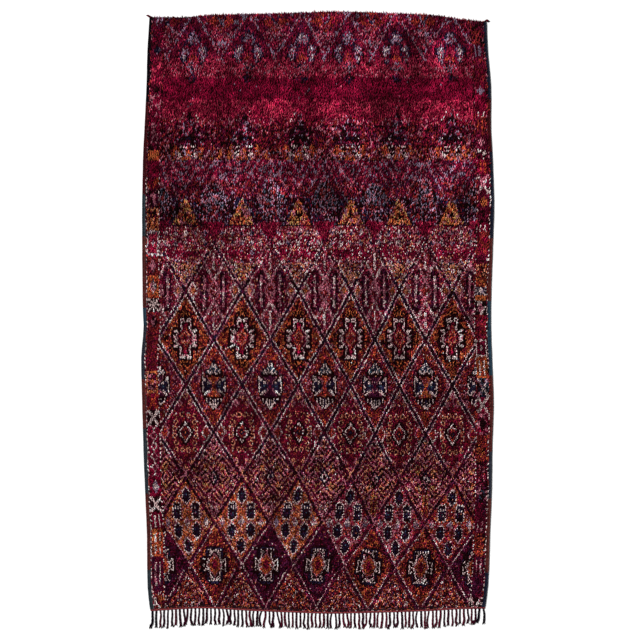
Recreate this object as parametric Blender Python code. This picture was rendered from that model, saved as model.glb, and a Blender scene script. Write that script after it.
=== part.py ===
# A Beni Mguild rug lying flat: a knotted wool pile on a woven ground, an overcast
# selvedge down each side, a twined cord at the head, and a flat-woven web with a
# fringe of warp ends at the foot.
# Metres, +Z up, +Y towards the head. The floor is z = 0.

import bisect
import math
import random
from collections import namedtuple

import bmesh
import bpy
from mathutils import Vector

OBJECT_NAME = "beni_mguild_rug"

# Driving sizes
SEAM_GAP = 0.0003
PILE_RIM_HEIGHT = 0.0155
PILE_CROWN_HEIGHT = 0.0185
RIM_ROUNDING = 0.09
LUMP_HEIGHT = 0.0022
SELVEDGE_WIDTH = 0.020
CORD_RADIUS = 0.0025
EAR_RADIUS = 0.0055
WEB_WIDTH = 0.010
WEB_THICKNESS = 0.004
STRAND_COUNT = 86
STRAND_ROOT_WIDTH = 0.0066
STRAND_LENGTH_SPREAD = 0.006
STRAND_SWAY = 0.0055
STRAND_DRIFT = 0.0022
STRAND_TOP_PART = 0.7

# How finely the slab and the selvedges are divided
PILE_COLUMNS = 30
PILE_ROWS = 54

# Seeds for the small unevenness of hand work
PILE_SEED = 17
FRINGE_SEED = 29

# Rim locks, which stand over the selvedges, the cord and the web
LOCK_BASE_HEIGHT = 0.0105
LOCK_REACH = 0.0050
LOCK_REACH_SPREAD = 0.0018
LOCK_TAPER = 0.42
LOCK_LAY = 0.0040

# The side edges, a row for each station up the rug
SideStation = namedtuple("SideStation", "up left right")
SIDE_EDGES = (
    SideStation(up=-1.563, left=-0.8961, right=0.8918),
    SideStation(up=-1.445, left=-0.9100, right=0.9084),
    SideStation(up=-1.328, left=-0.9127, right=0.9154),
    SideStation(up=-1.124, left=-0.9154, right=0.9218),
    SideStation(up=-0.915, left=-0.9245, right=0.9304),
    SideStation(up=-0.712, left=-0.9325, right=0.9325),
    SideStation(up=-0.439, left=-0.9400, right=0.9400),
    SideStation(up=-0.198, left=-0.9448, right=0.9314),
    SideStation(up=-0.043, left=-0.9325, right=0.9266),
    SideStation(up=0.075, left=-0.9368, right=0.9261),
    SideStation(up=0.348, left=-0.9395, right=0.9346),
    SideStation(up=0.621, left=-0.9400, right=0.9427),
    SideStation(up=0.894, left=-0.9347, right=0.9336),
    SideStation(up=1.028, left=-0.9293, right=0.9266),
    SideStation(up=1.263, left=-0.9191, right=0.9255),
    SideStation(up=1.440, left=-0.9143, right=0.9094),
    SideStation(up=1.622, left=-0.9036, right=0.9030),
)

# The end edges and the length of the fringe, a row for each station across
EndStation = namedtuple("EndStation", "across head foot fringe")
END_EDGES = (
    EndStation(across=-0.905, head=1.6231, foot=-1.5609, fringe=0.086),
    EndStation(across=-0.717, head=1.6220, foot=-1.5491, fringe=0.083),
    EndStation(across=-0.600, head=1.6327, foot=-1.5470, fringe=0.079),
    EndStation(across=-0.391, head=1.6391, foot=-1.5593, fringe=0.078),
    EndStation(across=-0.187, head=1.6428, foot=-1.5674, fringe=0.075),
    EndStation(across=0.064, head=1.6519, foot=-1.5754, fringe=0.073),
    EndStation(across=0.230, head=1.6498, foot=-1.5722, fringe=0.074),
    EndStation(across=0.434, head=1.6423, foot=-1.5674, fringe=0.077),
    EndStation(across=0.642, head=1.6327, foot=-1.5599, fringe=0.084),
    EndStation(across=0.776, head=1.6123, foot=-1.5513, fringe=0.076),
    EndStation(across=0.905, head=1.5989, foot=-1.5486, fringe=0.069),
)

# Broad waves in the pile: radians for each metre across and along, start and share
Wave = namedtuple("Wave", "across along start share")
PILE_WAVES = (
    Wave(across=9.1, along=3.7, start=0.0, share=0.45),
    Wave(across=-7.9, along=5.3, start=1.1, share=0.45),
    Wave(across=0.0, along=13.0, start=0.6, share=0.35),
)
SELVEDGE_WAVES = (
    Wave(across=0.0, along=11.0, start=0.0, share=0.05),
    Wave(across=0.0, along=29.0, start=0.8, share=0.04),
)

# The selvedge's two overcast cords, as heights across its width
Ridge = namedtuple("Ridge", "part height")
SELVEDGE_RIDGES = (
    Ridge(part=0.00, height=0.0030),
    Ridge(part=0.08, height=0.0068),
    Ridge(part=0.25, height=0.0090),
    Ridge(part=0.42, height=0.0072),
    Ridge(part=0.50, height=0.0055),
    Ridge(part=0.58, height=0.0072),
    Ridge(part=0.75, height=0.0090),
    Ridge(part=0.92, height=0.0068),
    Ridge(part=1.00, height=0.0040),
)

# Sections of a fringe strand after its root
StrandSection = namedtuple("StrandSection", "part width height sway")
STRAND_SECTIONS = (
    StrandSection(part=0.30, width=0.0072, height=0.0054, sway=0.35),
    StrandSection(part=0.72, width=0.0066, height=0.0050, sway=-0.30),
    StrandSection(part=1.00, width=0.0038, height=0.0030, sway=0.60),
)

# The ears at the ends of the head cord, from the corner out to the tip
EarPoint = namedtuple("EarPoint", "out up radius")
LEFT_EAR = (
    EarPoint(out=0.000, up=0.001, radius=0.85),
    EarPoint(out=0.006, up=0.005, radius=0.80),
    EarPoint(out=0.012, up=0.009, radius=0.50),
    EarPoint(out=0.017, up=0.013, radius=0.20),
)
RIGHT_EAR = (
    EarPoint(out=0.000, up=0.002, radius=1.00),
    EarPoint(out=0.007, up=0.002, radius=0.85),
    EarPoint(out=0.013, up=0.003, radius=0.50),
    EarPoint(out=0.018, up=0.004, radius=0.20),
)

# Colours, as linear red, green and blue
PILE_COLOUR = (0.105, 0.012, 0.022)
SELVEDGE_COLOUR = (0.030, 0.034, 0.050)
FRINGE_COLOUR = (0.050, 0.008, 0.016)
CORD_COLOUR = (0.014, 0.008, 0.012)
WOOL_ROUGHNESS = 0.92


def clear_scene():
    for old in list(bpy.data.objects):
        bpy.data.objects.remove(old, do_unlink=True)


def slope_at(places, values, index):
    """Slope of a table's smooth curve at one of its rows."""
    before = max(index - 1, 0)
    after = min(index + 1, len(places) - 1)
    return (values[after] - values[before]) / (places[after] - places[before])


def read_table(rows, key, column, at):
    """A column's value at a place between the rows, on a smooth curve through them."""
    places = [getattr(row, key) for row in rows]
    values = [getattr(row, column) for row in rows]
    at = min(max(at, places[0]), places[-1])
    index = min(bisect.bisect_right(places, at), len(places) - 1) - 1
    span = places[index + 1] - places[index]
    part = (at - places[index]) / span
    start_slope = slope_at(places, values, index) * span
    end_slope = slope_at(places, values, index + 1) * span
    square = part * part
    cube = square * part
    return (
        (2 * cube - 3 * square + 1) * values[index]
        + (cube - 2 * square + part) * start_slope
        + (3 * square - 2 * cube) * values[index + 1]
        + (cube - square) * end_slope
    )


def side_edge(side, up):
    return read_table(SIDE_EDGES, "up", side, up)


def head_edge(across):
    return read_table(END_EDGES, "across", "head", across)


def foot_edge(across):
    return read_table(END_EDGES, "across", "foot", across)


def smooth_step(part):
    part = min(max(part, 0.0), 1.0)
    return part * part * (3 - 2 * part)


def pile_point(across_part, up_part):
    """Place in plan on the slab, for parts from 0 to 1 of its width and length."""
    rough_across = END_EDGES[0].across + across_part * (END_EDGES[-1].across - END_EDGES[0].across)
    low = foot_edge(rough_across) + WEB_WIDTH + SEAM_GAP
    high = head_edge(rough_across) - 2 * CORD_RADIUS - SEAM_GAP
    up = low + up_part * (high - low)
    left = side_edge("left", up) + SELVEDGE_WIDTH + SEAM_GAP
    right = side_edge("right", up) - SELVEDGE_WIDTH - SEAM_GAP
    return Vector((left + across_part * (right - left), up, 0.0))


def sum_waves(waves, across, up):
    return sum(
        wave.share * math.sin(wave.across * across + wave.along * up + wave.start)
        for wave in waves
    )


def pile_height(place, rim_distance, jitter):
    """Height of the pile: rounded over at the rim, in soft lumps elsewhere."""
    crown = smooth_step(rim_distance / RIM_ROUNDING)
    lumps = LUMP_HEIGHT * (sum_waves(PILE_WAVES, place.x, place.y) + jitter)
    return PILE_RIM_HEIGHT + crown * (PILE_CROWN_HEIGHT - PILE_RIM_HEIGHT + lumps)


def new_material(name, colour):
    material = bpy.data.materials.new(name)
    material.use_nodes = True
    shader = material.node_tree.nodes["Principled BSDF"]
    shader.inputs["Base Color"].default_value = (*colour, 1.0)
    shader.inputs["Roughness"].default_value = WOOL_ROUGHNESS
    shader.inputs["Metallic"].default_value = 0.0
    return material


def finish_mesh(name, bm, material, collection):
    """Turn a bmesh into a named object with one material."""
    bmesh.ops.recalc_face_normals(bm, faces=bm.faces)
    mesh = bpy.data.meshes.new(name)
    bm.to_mesh(mesh)
    bm.free()
    mesh.materials.append(material)
    piece = bpy.data.objects.new(name, mesh)
    collection.objects.link(piece)
    return piece


def border_edges(bm):
    return [edge for edge in bm.edges if edge.is_boundary]


def extrude_border(bm, height):
    """Carry the open border straight down to a height and return the new wall faces."""
    made = bmesh.ops.extrude_edge_only(bm, edges=border_edges(bm))["geom"]
    for vertex in made:
        if isinstance(vertex, bmesh.types.BMVert):
            vertex.co.z = height
    return [face for face in made if isinstance(face, bmesh.types.BMFace)]


def laid_sheet(columns, rows, place):
    """A grid whose points are set by place(across part, up part)."""
    bm = bmesh.new()
    bmesh.ops.create_grid(bm, x_segments=columns, y_segments=rows, size=0.5)
    for vertex in bm.verts:
        vertex.co = place(vertex.co.x + 0.5, vertex.co.y + 0.5)
    return bm


def close_on_floor(bm):
    extrude_border(bm, 0.0)
    bmesh.ops.edgeloop_fill(bm, edges=border_edges(bm))


def add_rim_locks(bm, wall, dice):
    """Draw each face of the rim wall out into a short lock that leans towards the head."""
    locks = bmesh.ops.extrude_discrete_faces(bm, faces=wall)["faces"]
    for lock in locks:
        centre = lock.calc_center_median()
        outward = Vector((lock.normal.x, lock.normal.y, 0.0)).normalized()
        reach = LOCK_REACH + dice.uniform(-1.0, 1.0) * LOCK_REACH_SPREAD
        tip = centre + outward * reach
        tip.y += LOCK_LAY * dice.uniform(0.2, 1.0) * abs(outward.x)
        for vertex in lock.verts:
            vertex.co = tip + (vertex.co - centre) * LOCK_TAPER


def build_pile_field(material, collection):
    dice = random.Random(PILE_SEED)
    width = SIDE_EDGES[0].right - SIDE_EDGES[0].left
    length = END_EDGES[0].head - END_EDGES[0].foot

    def place(across_part, up_part):
        spot = pile_point(across_part, up_part)
        side_distance = min(across_part, 1.0 - across_part) * width
        end_distance = min(up_part, 1.0 - up_part) * length
        rim_distance = min(side_distance, end_distance)
        spot.z = pile_height(spot, rim_distance, dice.uniform(-1.0, 1.0))
        return spot

    bm = laid_sheet(PILE_COLUMNS, PILE_ROWS, place)
    bmesh.ops.recalc_face_normals(bm, faces=bm.faces)
    wall = extrude_border(bm, LOCK_BASE_HEIGHT)
    close_on_floor(bm)
    bmesh.ops.recalc_face_normals(bm, faces=bm.faces)
    bm.normal_update()
    add_rim_locks(bm, wall, dice)
    return finish_mesh("pile_field", bm, material, collection)


def build_selvedge(side, material, collection):
    outward = -1.0 if side == "left" else 1.0
    seam_part = 0.0 if side == "left" else 1.0
    columns = len(SELVEDGE_RIDGES) - 1

    def place(column_part, up_part):
        ridge = SELVEDGE_RIDGES[round(column_part * columns)]
        up = pile_point(seam_part, up_part).y
        outer = side_edge(side, up)
        plump = 1.0 + sum_waves(SELVEDGE_WAVES, outer, up)
        return Vector((outer - outward * ridge.part * SELVEDGE_WIDTH, up, ridge.height * plump))

    bm = laid_sheet(columns, PILE_ROWS, place)
    close_on_floor(bm)
    return finish_mesh("selvedge_" + side, bm, material, collection)


def build_end_web_fringe(material, collection):
    """The web across the foot, with each strand drawn out of the web's front edge."""
    dice = random.Random(FRINGE_SEED)
    start_up = pile_point(0.0, 0.0).y
    end_up = pile_point(1.0, 0.0).y
    left = side_edge("left", start_up)
    right = side_edge("right", end_up)
    pitch = (right - left) / STRAND_COUNT
    half_root = STRAND_ROOT_WIDTH / 2
    stations = [left]
    for strand in range(STRAND_COUNT):
        middle = left + (strand + 0.5) * pitch
        stations += [middle - half_root, middle + half_root]
    stations.append(right)
    seam = [pile_point(column / PILE_COLUMNS, 0.0) for column in range(PILE_COLUMNS + 1)]

    def seam_line(across):
        """The slab's foot edge, straight between its corners as the slab is."""
        if across <= seam[0].x:
            return seam[0].y
        for low, high in zip(seam, seam[1:]):
            if across <= high.x:
                return low.y + (across - low.x) / (high.x - low.x) * (high.y - low.y)
        return seam[-1].y

    def place(column_part, up_part):
        across = stations[round(column_part * (len(stations) - 1))]
        back = seam_line(across) - SEAM_GAP
        return Vector((across, back - (1.0 - up_part) * WEB_WIDTH, WEB_THICKNESS))

    bm = laid_sheet(len(stations) - 1, 1, place)
    wall = extrude_border(bm, 0.0)
    bmesh.ops.edgeloop_fill(bm, edges=border_edges(bm))
    bmesh.ops.recalc_face_normals(bm, faces=bm.faces)
    bm.normal_update()
    front = [face for face in wall if face.normal.y < -0.7]
    front.sort(key=lambda face: face.calc_center_median().x)
    roots = front[1::2]
    for root in roots:
        draw_strand(bm, root, dice)
    return finish_mesh("end_web_fringe", bm, material, collection)


def draw_strand(bm, root, dice):
    """Draw one fringe strand out of its root face, flat on the floor."""
    start = root.calc_center_median()
    length = read_table(END_EDGES, "across", "fringe", start.x)
    length += dice.uniform(-1.0, 1.0) * STRAND_LENGTH_SPREAD
    swing = dice.uniform(-1.0, 1.0) * STRAND_SWAY
    drift = dice.uniform(-1.0, 1.0) * STRAND_DRIFT
    face = root
    for section in STRAND_SECTIONS:
        face = bmesh.ops.extrude_discrete_faces(bm, faces=[face])["faces"][0]
        centre = face.calc_center_median()
        middle = start.x + swing * section.sway + drift * section.part
        for vertex in face.verts:
            on_top = vertex.co.z > centre.z
            half_width = 0.5 * section.width * (STRAND_TOP_PART if on_top else 1.0)
            vertex.co.x = middle + math.copysign(half_width, vertex.co.x - centre.x)
            vertex.co.y = start.y - length * section.part
            vertex.co.z = section.height if on_top else 0.0


def build_heading_cord(material, collection):
    """The twined cord along the head edge, drawn out to an ear at each corner."""
    columns = range(PILE_COLUMNS + 1)
    edge = [pile_point(column / PILE_COLUMNS, 1.0) for column in columns]
    route = [(spot.x, spot.y + SEAM_GAP + CORD_RADIUS, CORD_RADIUS) for spot in edge]
    left_corner = side_edge("left", edge[0].y)
    right_corner = side_edge("right", edge[-1].y)
    ears = (
        (LEFT_EAR, left_corner, edge[0].y, -1.0),
        (RIGHT_EAR, right_corner, edge[-1].y, 1.0),
    )
    for ear, corner, up, outward in ears:
        tail = []
        for point in ear:
            radius = point.radius * EAR_RADIUS
            across = corner + outward * point.out
            tail.append((across, up + SEAM_GAP + radius + point.up, radius))
        route = route + tail if outward > 0 else tail[::-1] + route

    curve = bpy.data.curves.new("heading_cord", "CURVE")
    curve.dimensions = "3D"
    curve.twist_mode = "Z_UP"
    curve.bevel_depth = CORD_RADIUS
    curve.bevel_resolution = 2
    curve.use_fill_caps = True
    spline = curve.splines.new("POLY")
    spline.points.add(len(route) - 1)
    for point, (across, up, radius) in zip(spline.points, route):
        point.co = (across, up, radius, 1.0)
        point.radius = radius / CORD_RADIUS
    curve.materials.append(material)
    cord = bpy.data.objects.new("heading_cord", curve)
    collection.objects.link(cord)
    return cord


def centre_on_origin(pieces, collection):
    """Hang the pieces on an empty that sets the middle of the rug's box at the origin."""
    bpy.context.view_layer.update()
    corners = [Vector(corner) for piece in pieces for corner in piece.bound_box]
    middle_x = 0.5 * (min(c.x for c in corners) + max(c.x for c in corners))
    middle_y = 0.5 * (min(c.y for c in corners) + max(c.y for c in corners))
    centre = bpy.data.objects.new("rug_centre", None)
    centre.location = (-middle_x, -middle_y, 0.0)
    collection.objects.link(centre)
    for piece in pieces:
        piece.parent = centre


def build_rug():
    clear_scene()
    collection = bpy.data.collections.new(OBJECT_NAME)
    bpy.context.scene.collection.children.link(collection)
    selvedge_wool = new_material("selvedge_wool", SELVEDGE_COLOUR)
    pieces = [
        build_pile_field(new_material("pile_wool", PILE_COLOUR), collection),
        build_selvedge("left", selvedge_wool, collection),
        build_selvedge("right", selvedge_wool, collection),
        build_end_web_fringe(new_material("fringe_wool", FRINGE_COLOUR), collection),
        build_heading_cord(new_material("cord_wool", CORD_COLOUR), collection),
    ]
    centre_on_origin(pieces, collection)


build_rug()
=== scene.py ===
import math
import random
from types import SimpleNamespace

import bmesh
import bpy
import numpy as np
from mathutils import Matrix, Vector
from mathutils.bvhtree import BVHTree


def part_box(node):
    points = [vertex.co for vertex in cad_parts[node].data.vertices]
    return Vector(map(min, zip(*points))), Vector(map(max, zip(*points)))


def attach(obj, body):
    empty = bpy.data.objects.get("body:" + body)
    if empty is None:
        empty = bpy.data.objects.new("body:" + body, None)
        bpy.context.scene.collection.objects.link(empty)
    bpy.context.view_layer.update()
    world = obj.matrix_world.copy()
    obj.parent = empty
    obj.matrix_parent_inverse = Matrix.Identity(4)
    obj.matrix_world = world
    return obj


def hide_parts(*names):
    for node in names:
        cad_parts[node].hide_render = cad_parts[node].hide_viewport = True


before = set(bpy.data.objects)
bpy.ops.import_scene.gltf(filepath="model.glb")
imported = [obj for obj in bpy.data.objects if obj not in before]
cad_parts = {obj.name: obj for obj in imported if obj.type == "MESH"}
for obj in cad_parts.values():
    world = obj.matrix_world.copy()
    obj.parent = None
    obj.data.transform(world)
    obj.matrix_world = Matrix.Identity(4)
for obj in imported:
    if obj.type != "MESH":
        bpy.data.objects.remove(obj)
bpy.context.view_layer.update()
print("frame loaded")


def linearColour(red, green, blue):  # display values 0-255 to linear light
    return tuple((value / 255) ** 2.2 for value in (red, green, blue))


# Edges of the cloth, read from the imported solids

def solidPoints(node):
    return np.array([corner.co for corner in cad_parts[node].data.vertices])


def floorPoints(node):
    points = solidPoints(node)
    return points[points[:, 2] < 0.0002]


pileFloor = floorPoints("pile_field")


def clothCorner(sideX, sideY):
    return pileFloor[np.argmax(sideX * pileFloor[:, 0] + sideY * pileFloor[:, 1])]


def clothEdge(start, end, along, side):  # floor points from corner to corner, in order
    across = 1 - along
    between = (pileFloor[:, along] >= start[along]) & (pileFloor[:, along] <= end[along])
    outside = side * pileFloor[:, across] > 0.97 * side * start[across]
    points = pileFloor[between & outside]
    order = np.argsort(points[:, along])
    return points[order, along], points[order, across]


headLeft, headRight = clothCorner(-1, 1), clothCorner(1, 1)
footLeft, footRight = clothCorner(-1, -1), clothCorner(1, -1)
headLine = clothEdge(headLeft, headRight, 0, 1)
footLine = clothEdge(footLeft, footRight, 0, -1)
leftLine = clothEdge(footLeft, headLeft, 1, -1)
rightLine = clothEdge(footRight, headRight, 1, 1)


def clothPlace(across, up):  # parts 0-1 of the width and length, as arrays, to x and y
    low = np.interp(footLeft[0] + across * (footRight[0] - footLeft[0]), *footLine)
    high = np.interp(headLeft[0] + across * (headRight[0] - headLeft[0]), *headLine)
    y = low + up * (high - low)
    left = np.interp(y, *leftLine)
    right = np.interp(y, *rightLine)
    return left + across * (right - left), y


pileTree = BVHTree.FromPolygons(
    [corner.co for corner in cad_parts["pile_field"].data.vertices],
    [face.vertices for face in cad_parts["pile_field"].data.polygons],
)


def solidTop(x, y):  # height of the solid's pile surface under each point
    heights = np.full(len(x), 0.015)
    for index, spot in enumerate(zip(x, y)):
        hit = pileTree.ray_cast(Vector((spot[0], spot[1], 1.0)), Vector((0, 0, -1)))[0]
        if hit is not None:
            heights[index] = hit.z
    return heights


# Dyes: a letter for each, as seen in daylight, 0-255

dyes = {
    "W": (90, 22, 42),  # wine
    "A": (70, 26, 50),  # aubergine
    "M": (120, 40, 40),  # madder
    "R": (156, 60, 44),  # red orange
    "C": (113, 20, 45),  # crimson
    "G": (150, 46, 66),  # rose
    "P": (158, 92, 106),  # dusty pink
    "S": (196, 124, 98),  # salmon
    "I": (212, 182, 180),  # ivory
    "L": (128, 106, 126),  # lilac grey
    "K": (34, 17, 19),  # brown black
    "N": (36, 33, 54),  # indigo
    "T": (56, 70, 84),  # petrol slate
    "O": (170, 88, 54),  # orange
    "Y": (172, 130, 82),  # old gold
}
dyeLetters = "".join(dyes)
dyeTable = np.array([linearColour(*dyes[letter]) for letter in dyeLetters])


def codes(text):
    return np.array([dyeLetters.find(letter) for letter in text])


def mixed(bag, draw):  # a bag of dye letters, drawn from at random
    found = codes(bag)
    return found[(draw * len(found)).astype(int)]


# The weaver's charts. Each is half of a mirrored motif: the first letter of a line is
# the middle knot, the last the outermost. A dot leaves the ground as it is.

def mirrored(upper):  # adds the lower half of a chart to its upper half
    lines = upper.split()
    return lines + lines[-2::-1]


turtleChart = """
N
N
NI
NI
NIT
NTII
TNITT
TINTII
NIITIIT
KKIIKIK
KKKKKKK
AAKKKP...I
AAAAAP..II
AAAAP..III
AAAP..NIIT
AAP.IINNNI
AAPNIINNNI
AANNNNNN.I
CANNTTNN.I
CAN.NNNNII
AAPNNNNN.I
AAPTIINNNI
AAAPIIIN.I
AAAAP.II
AAAAAP.II
AAAAAAK
KKKKKKKK
NKKIKKIK
NI.IN.I
NI.IN.I
NI.II
NIII
NII
II
I
""".split()
steppedChart = """
O
KO
KOKO
KOKKO
KKOKM
KKKKKM
KKIIIK
KIPKIK
KIIIPK
CKKKIK
CCKKIK
CCKPIK
RCKIPK
RCKIKKKKKK
CRCKIKKIIIK
PRCKPKIIIPK
CSRCKPIKKKK
RCSRCKPIKK
CRPSRCKPIIK
RCRPCKPIIPK
KRCRCKPIPKK
RCRPCKPIIPK
CRPSRCKPIIK
RCSRCKPIKK
CSRCKPIKKKK
PRCKPKIIIPK
CRCKIKKIIIK
RCKIKKKKKK
RCKIPK
CCKPIK
CCKKIK
CKKKIK
KPIKPK
KIIIIK
KIIIIK
KKKKKN
KKOKM
KOKKO
KOKO
KO
O
""".split()
eyeChart = mirrored("""
..SI
.S.KS..SI
.SK.S.S.KS
..SS...SS
.
K......SS
KK....S.KI
IKK...S..S
IIKK...SS
WIKK
RWIKK...SSI
MRWIKK.S.KS
KMWWIKKI..S
NKMWIKK.SSI
ONKWWIKK
""")
rosetteChart = """
IP
KIP
NKI
KAKIP
NKNK
TNKIP
NKNK
ANKIP
NKNK
KNKIP
NKI
KIP
IP
""".split()
bracketChart = """
.II
KKKI
NKNIP
NINK
TIKIP
NKNK
KANIP
TKNK
NANIP
KNKK
NKNIP
KKKI
.II
""".split()
starChart = """
NNNNNN
KIKIKIN
PIKIKKN
KKIKIKN
PKKIPKN
RPKKIKN
ORPKIKN
OORPIKK.KKN
MOORPIKKIIK
CMOORIKIKIK
WCMOPIIKKIK
CWRORPIKKIK
MCWRORPIKIK
CWRORPIKKIK
WCMOPIIKKIK
CMOORIKIKIK
MOORPIKKIIK
OORPIKK.KKN
ORPKIKN
RPKKIKN
PKKIPKN
KKIKIKN
PIKIKKN
KIIKIIN
NNNNNN
.NNN
""".split()
trefoilChart = """
N
NLN
LLLN
LILN
LLLLN
LPLLN
NLLN
CNNNKLN
CC.NLLLN
CCWNLILLNK
CGWNLLILNK
GGCNLPLLNK
RGCNLLILNK
RRGCNLLLNK
GRRCNLIN
CGR.NLLN
.G...LN
...G.N
""".split()
peakChart = """
KKKKKKK
NNNKKK.I
.KKKKKK
W.WKKW
......W
......P
..K.KKKK..OO
W.IPIIIIW.OOO
O..KKKKK.OOOO
OW.KKKKKP.OOMO
OO.IIPP..OOMO
OO.KKKKI.OOOO
OMO.KKIIP.MOO
OOO.IIIIPP.O
OMOO.PIIIP
OOOO.NTIP
OOMOO.NP
NNN
""".split()


def readChart(chart, across, down, where):  # a dye for each knot, -1 for none
    width = max(len(line) for line in chart)
    grid = np.array([codes(line.ljust(width, ".")) for line in chart])
    column = np.abs(np.rint(across)).astype(int)
    line = np.rint(down).astype(int) + len(chart) // 2
    inside = where & (column < width) & (line >= 0) & (line < len(chart))
    found = np.full(len(where), -1)
    found[inside] = grid[line[inside], column[inside]]
    return found


def paint(k, where, bag):  # a dye from the bag for each chosen knot
    k.cloth[where] = mixed(bag, k.draw[where])


def stampChart(k, chart, across, down, where, edge=""):
    if edge:  # one knot of dark round the motif
        for right, below in ((1, 0), (-1, 0), (0, 1), (0, -1)):
            near = readChart(chart, across + right, down + below, where)
            k.cloth[near >= 0] = dyeLetters.find(edge)
    found = readChart(chart, across, down, where)
    k.cloth[found >= 0] = found[found >= 0]


# The diamond lattice, in knots across from the middle and rows down from the head

knot = {"across": 0.0065, "along": 0.0075, "middleX": 0.0011, "headY": 1.6481}
latticeRows = (0, 32, 66, 98.5, 133, 165, 199, 234, 266, 300, 332, 364, 394.5, 427, 459)
firstLatticeRow = -4
latticeColumns = {  # rows down: knots across of every second lattice column
    24: (-102, -57, -13, 25, 64, 109),
    120: (-109, -62.5, -16, 27, 66.5, 110),
    340: (-109, -62.5, -16, 27, 67, 111),
    400: (-106, -64, -22, 20, 62.5, 106),
}


def latticePlace(column, row):  # knots to lattice steps across and down, and a half width
    downSteps = np.interp(row, latticeRows, np.arange(len(latticeRows))) + firstLatticeRow
    heights = list(latticeColumns)
    edges = [np.interp(row, heights, line) for line in zip(*latticeColumns.values())]
    first, last = edges[0], edges[-1]
    acrossSteps = np.where(column < first, 2 * (column - first) / (edges[1] - first), 0.0)
    beyond = 2 * (len(edges) - 1) + 2 * (column - last) / (last - edges[-2])
    acrossSteps = np.where(column >= last, beyond, acrossSteps)
    pitch = np.full(len(column), 46.0)
    for step, (left, right) in enumerate(zip(edges, edges[1:])):
        between = (column >= left) & (column < right)
        acrossSteps = np.where(between, 2 * (step + (column - left) / (right - left)), acrossSteps)
        pitch = np.where(between, right - left, pitch)
    return acrossSteps, downSteps, pitch / 2


# Border blocks down each side: rows, ground bag, and for some a motif and its bag

leftBlocks = (
    (11, "WWA", "bars", "L"), (12, "CWAG"), (9, "W", "lozenge", "LN"), (20, "CWCG"),
    (7, "W", "lozenge", "K"), (29, "CWCP"), (7, "W", "bars", "P"), (4, "KW"), (7, "OOR"), (13, "CW"),
    (7, "RC"), (14, "AW", "cross", "PK"), (16, "KWO", "box", "OS"), (18, "CG", "box", "ILI"),
    (14, "WM", "lozenge", "P"), (16, "ORO", "lozenge", "PIT"), (10, "K", "star", "I"),
    (14, "MW", "lozenge", "PK"), (28, "MWCMW"), (16, "WKPM", "box", "OOS"), (12, "C", "cross", "R"),
    (11, "K", "cross", "I"), (37, "CCW", "chain", "IP"), (14, "C", "lozenge", "LI"),
    (11, "K", "cross", "I"), (12, "C", "bars", "I"), (20, "OR", "bars", "OI"), (24, "WA", "bars", "IP"),
    (16, "OMWI"),
)
rightBlocks = (
    (13, "WK"), (10, "MWKM"), (10, "W", "bars", "L"), (19, "WMCW"), (9, "C", "lozenge", "L"), (10, "C"),
    (4, "C", "bars", "I"), (13, "MW", "bars", "R"), (10, "W", "lozenge", "P"), (7, "WKI"),
    (11, "C", "bars", "R"), (14, "W", "cross", "IP"), (12, "W", "lozenge", "O"), (9, "KW"),
    (6, "C", "bars", "I"), (16, "CM"), (7, "W"), (10, "OMKS"), (6, "RMO"), (6, "N", "star", "LI"),
    (4, "O"), (10, "KI", "lozenge", "P"), (18, "WMCM"), (12, "WC", "box", "I"), (15, "OR", "bars", "I"),
    (13, "NTK", "cross", "ILP"), (11, "C", "cross", "I"), (15, "CPW", "lozenge", "K"), (19, "MMRWOK"),
    (16, "WKW", "bars", "PWMP"), (13, "AKWP", "lozenge", "NTKP"), (11, "WCWA"),
    (11, "W", "bars", "PWPI"), (16, "MRMWKO"), (16, "WAC", "bars", "PIP"), (14, "AW"),
    (15, "K", "cross", "IP"),
)


def blockPart(motif, p, q):  # p and q run -1 to 1 across and down a block
    if motif == "bars":
        return (np.abs(np.abs(p) - 0.42) < 0.17) & (np.abs(q) < 0.72)
    if motif == "lozenge":
        return np.abs(p) + np.abs(q) < 0.72
    if motif == "cross":
        return np.abs(np.abs(p) - np.abs(q)) < 0.30
    if motif == "star":
        return (np.abs(np.abs(p) - np.abs(q)) < 0.22) | (np.minimum(np.abs(p), np.abs(q)) < 0.16)
    if motif == "box":
        return (np.maximum(np.abs(p), np.abs(q)) > 0.78) | (np.abs(p) + np.abs(q) < 0.35)
    link = np.abs(p) + np.abs((q * 2.5) % 1.0 - 0.5) * 1.6  # chain
    return (link > 0.45) & (link < 0.80)


border = {  # lengths in knots
    "width": 11.2,
    "outerDots": 1.3,
    "innerDots": 1.3,
    "dotPitch": 1.6,
    "dotShare": 0.72,
    "dotsFrom": 118,  # rows from the head, above which the dotted lines fade out
}


def weaveBorder(k, inward, blocks):  # inward counts knots from the selvedge
    outer, inner = border["outerDots"], border["innerDots"]
    middle = outer + (border["width"] - outer - inner) / 2
    half = middle - outer
    band = inward < border["width"]
    top = 0.0
    for tall, ground, *figure in blocks:
        here = band & (k.row >= top) & (k.row < top + tall)
        paint(k, here, ground)
        if figure:
            motif, ink = figure
            part = blockPart(motif, (inward - middle) / half, (k.row - top) / tall * 2 - 1)
            paint(k, here & part, ink)
        top += tall
    edges = (inward < outer) | (band & (inward > border["width"] - inner))
    dotted = (np.floor(k.row / border["dotPitch"]) % 2 == 0) & (k.draw < border["dotShare"])
    clear = k.row > border["dotsFrom"]
    paint(k, edges, "WKWM")
    paint(k, edges & dotted & clear, "I")
    paint(k, edges & dotted & ~clear & (k.draw < 0.3), "P")


# Grounds: bands of dyes at the head, then a function for each row of diamonds, which gives
# its layers from the ground up: which knots, and a bag of dyes. k holds the knots: their dye,
# two even odds (draw and luck), their row, their place u, v on the lattice, the middle u0, v0
# of their diamond, their place in it as parts of its halves (a, b, with reach 1 at its edge)
# and in knots and rows (dc, dr), and its half width.

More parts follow.
